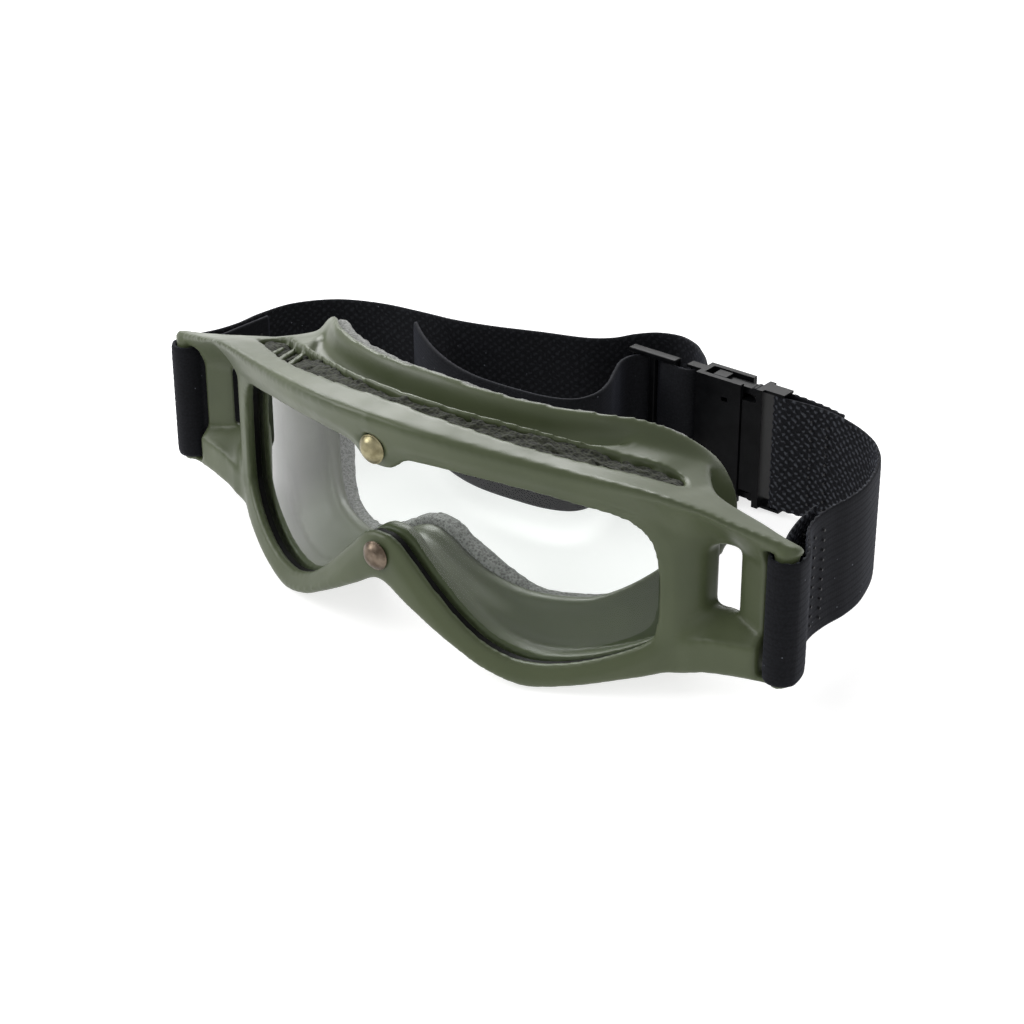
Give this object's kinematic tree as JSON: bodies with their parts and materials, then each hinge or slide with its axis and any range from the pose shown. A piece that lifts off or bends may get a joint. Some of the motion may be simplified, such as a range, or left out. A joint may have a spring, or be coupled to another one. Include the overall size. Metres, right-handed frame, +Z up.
{
  "type": "protective goggles",
  "caption": "Protective goggles with a soft wrap-around frame, clear curved lens, foam-filled brow vent and an elastic head strap with a side-release buckle.",
  "frame": {"origin": "on the table, under the middle of the whole object's box, as the goggles stand on both cheek lobes and the back of the strap", "axes": "+X towards the wearer's left, -Y out of the front of the lens, +Z up"},
  "size_m": [0.2372, 0.1454, 0.0773],
  "materials": {
    "frame_moulding": "satin",
    "clear_lens": "gloss",
    "seal_rubber": "matte",
    "antique_brass": "satin",
    "worn_copper": "satin",
    "vent_foam": "matte",
    "face_foam": "matte",
    "elastic_webbing": "matte",
    "thread": "matte",
    "buckle_plastic": "satin"
  },
  "bodies": {
    "goggles": {"frame": "frame_moulding", "lens": "clear_lens", "lens_seal": "seal_rubber", "upper_snap_cap": "antique_brass", "upper_snap_stud": "antique_brass", "lower_snap_cap": "worn_copper", "lower_snap_stud": "antique_brass", "vent_foam": "vent_foam", "face_foam": "face_foam", "long_strap": "elastic_webbing", "long_strap_stitching": "thread", "tail_stitching": "thread", "short_strap": "elastic_webbing", "short_strap_post_stitching": "thread", "short_strap_plug_stitching": "thread", "buckle_socket": "buckle_plastic"},
    "strap_slider": {"slider": "buckle_plastic"},
    "plug": {"buckle_plug": "buckle_plastic"},
    "upper_latch": {"upper_prong": "buckle_plastic"},
    "lower_latch": {"lower_prong": "buckle_plastic"}
  },
  "joints": [
    {"name": "buckle_release", "type": "slide", "parent": "goggles", "child": "plug", "axis": [1, 0, 0], "range_m": [0, 0.022], "deforming": ["short_strap", "short_strap_plug_stitching"]},
    {"name": "upper_prong_squeeze", "type": "hinge", "parent": "plug", "child": "upper_latch", "pos_m": [0.0469, 0.05494, 0.03865], "axis": [0, -0.9928, 0.1195], "range_deg": [0, 6], "stiffness_Nm_per_rad": 0.08},
    {"name": "lower_prong_squeeze", "type": "hinge", "parent": "plug", "child": "lower_latch", "pos_m": [0.0469, 0.05068, 0.00331], "axis": [0, 0.9928, -0.1195], "range_deg": [0, 6], "stiffness_Nm_per_rad": 0.08},
    {"name": "slider_adjust", "type": "slide", "parent": "goggles", "child": "strap_slider", "axis": [1, 0, 0], "range_m": [-0.012, 0.002], "deforming": ["long_strap"]}
  ],
  "couplings": [
    {"joint": "lower_prong_squeeze", "follows": "upper_prong_squeeze", "ratio": 1}
  ]
}
